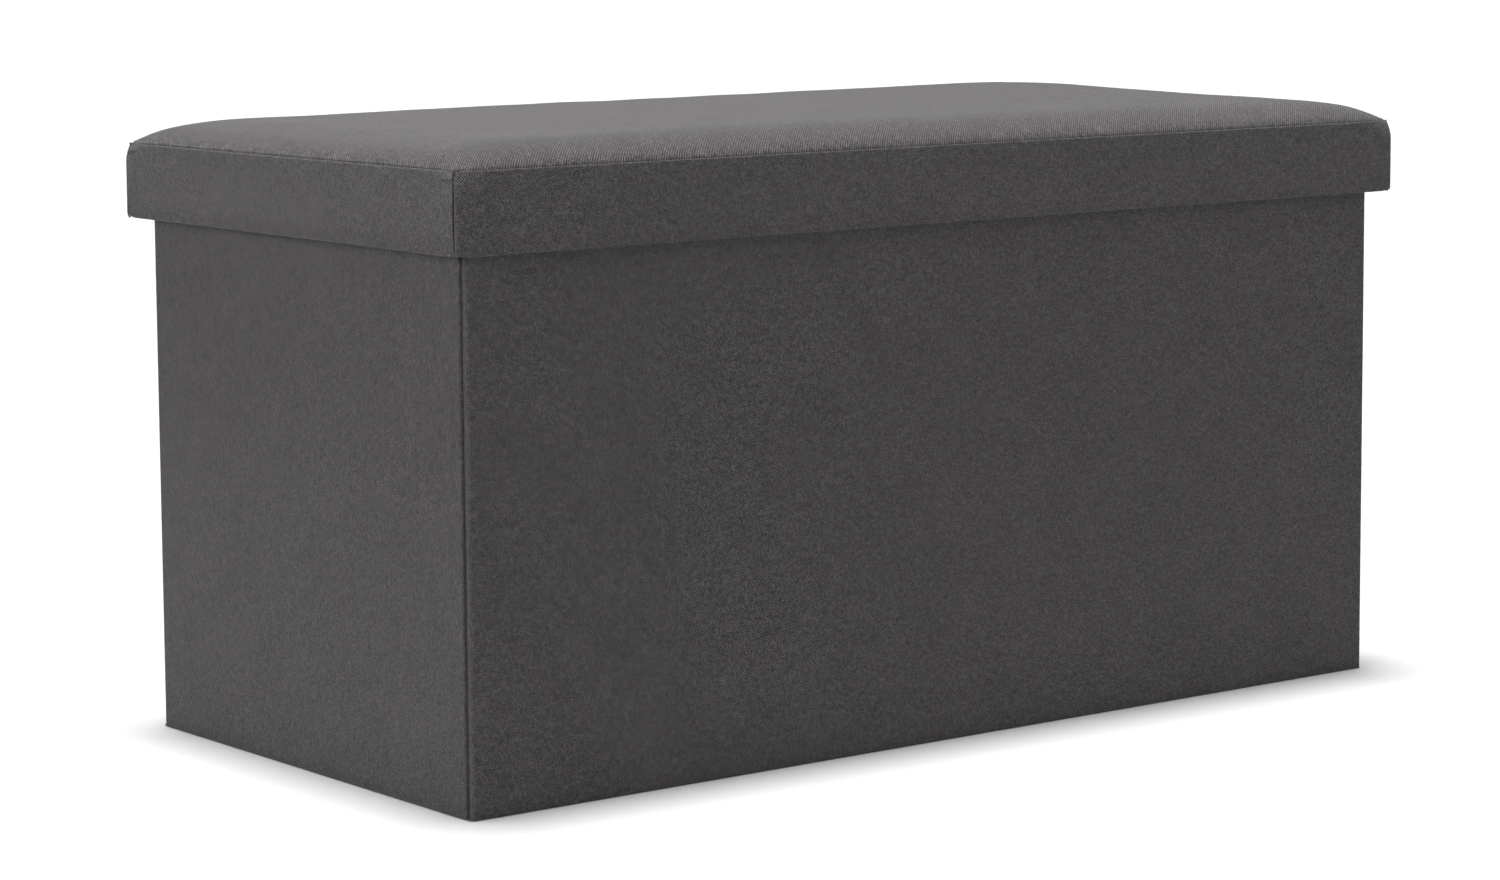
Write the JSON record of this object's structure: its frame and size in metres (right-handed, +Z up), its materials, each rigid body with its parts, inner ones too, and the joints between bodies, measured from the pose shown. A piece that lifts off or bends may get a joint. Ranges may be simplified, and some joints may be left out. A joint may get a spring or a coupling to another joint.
{
  "type": "storage bench",
  "caption": "Rectangular fabric-covered storage bench of boards with a padded lift-off lid, a skirt round the lid and a base board that swings up.",
  "frame": {"origin": "middle of the footprint, on the floor", "axes": "+X along the bench's length, -Y towards its front, +Z up"},
  "size_m": [0.76, 0.38, 0.3939],
  "materials": {
    "charcoal_fabric": "two-tone woven, matte",
    "lining_cloth": "non-woven, matte",
    "fibreboard": "raw hardboard, matte",
    "foam": "open-cell foam",
    "webbing": "ribbed tape, matte"
  },
  "bodies": {
    "box": {"back_board": "fibreboard", "back_cover": "charcoal_fabric", "back_lining": "lining_cloth", "bottom_cloth": "lining_cloth", "corner_back_left": "charcoal_fabric", "corner_back_right": "charcoal_fabric", "corner_front_left": "charcoal_fabric", "corner_front_right": "charcoal_fabric", "front_board": "fibreboard", "front_cover": "charcoal_fabric", "front_lining": "lining_cloth", "hinge_strip_wall": "lining_cloth", "left_end_back_board": "fibreboard", "left_end_cover": "charcoal_fabric", "left_end_fold_tape": "webbing", "left_end_front_board": "fibreboard", "left_end_lining": "lining_cloth", "right_end_back_board": "fibreboard", "right_end_cover": "charcoal_fabric", "right_end_fold_tape": "webbing", "right_end_front_board": "fibreboard", "right_end_lining": "lining_cloth", "rim_binding_back": "charcoal_fabric", "rim_binding_front": "charcoal_fabric", "rim_binding_left": "charcoal_fabric", "rim_binding_right": "charcoal_fabric"},
    "base": {"base_board": "fibreboard", "base_pull_tab": "webbing", "base_top_cloth": "lining_cloth", "base_under_cloth": "lining_cloth", "hinge_strip_base": "lining_cloth"},
    "lid": {"lid_board": "fibreboard", "lid_foam_pad": "foam", "lid_lining": "lining_cloth", "lid_rim_board_back": "fibreboard", "lid_rim_board_front": "fibreboard", "lid_rim_board_left": "fibreboard", "lid_rim_board_right": "fibreboard", "lid_skirt_back": "charcoal_fabric", "lid_skirt_front": "charcoal_fabric", "lid_skirt_left": "charcoal_fabric", "lid_skirt_right": "charcoal_fabric", "lid_top_cover": "charcoal_fabric"}
  },
  "joints": [
    {"name": "lid_lift", "type": "slide", "parent": "box", "child": "lid", "axis": [0, 0, 1], "range_m": [0, 0.4]},
    {"name": "base_lift", "type": "hinge", "parent": "box", "child": "base", "pos_m": [0, 0.1693, 0.0057], "axis": [-1, 0, 0], "range_deg": [0, 90]}
  ]
}
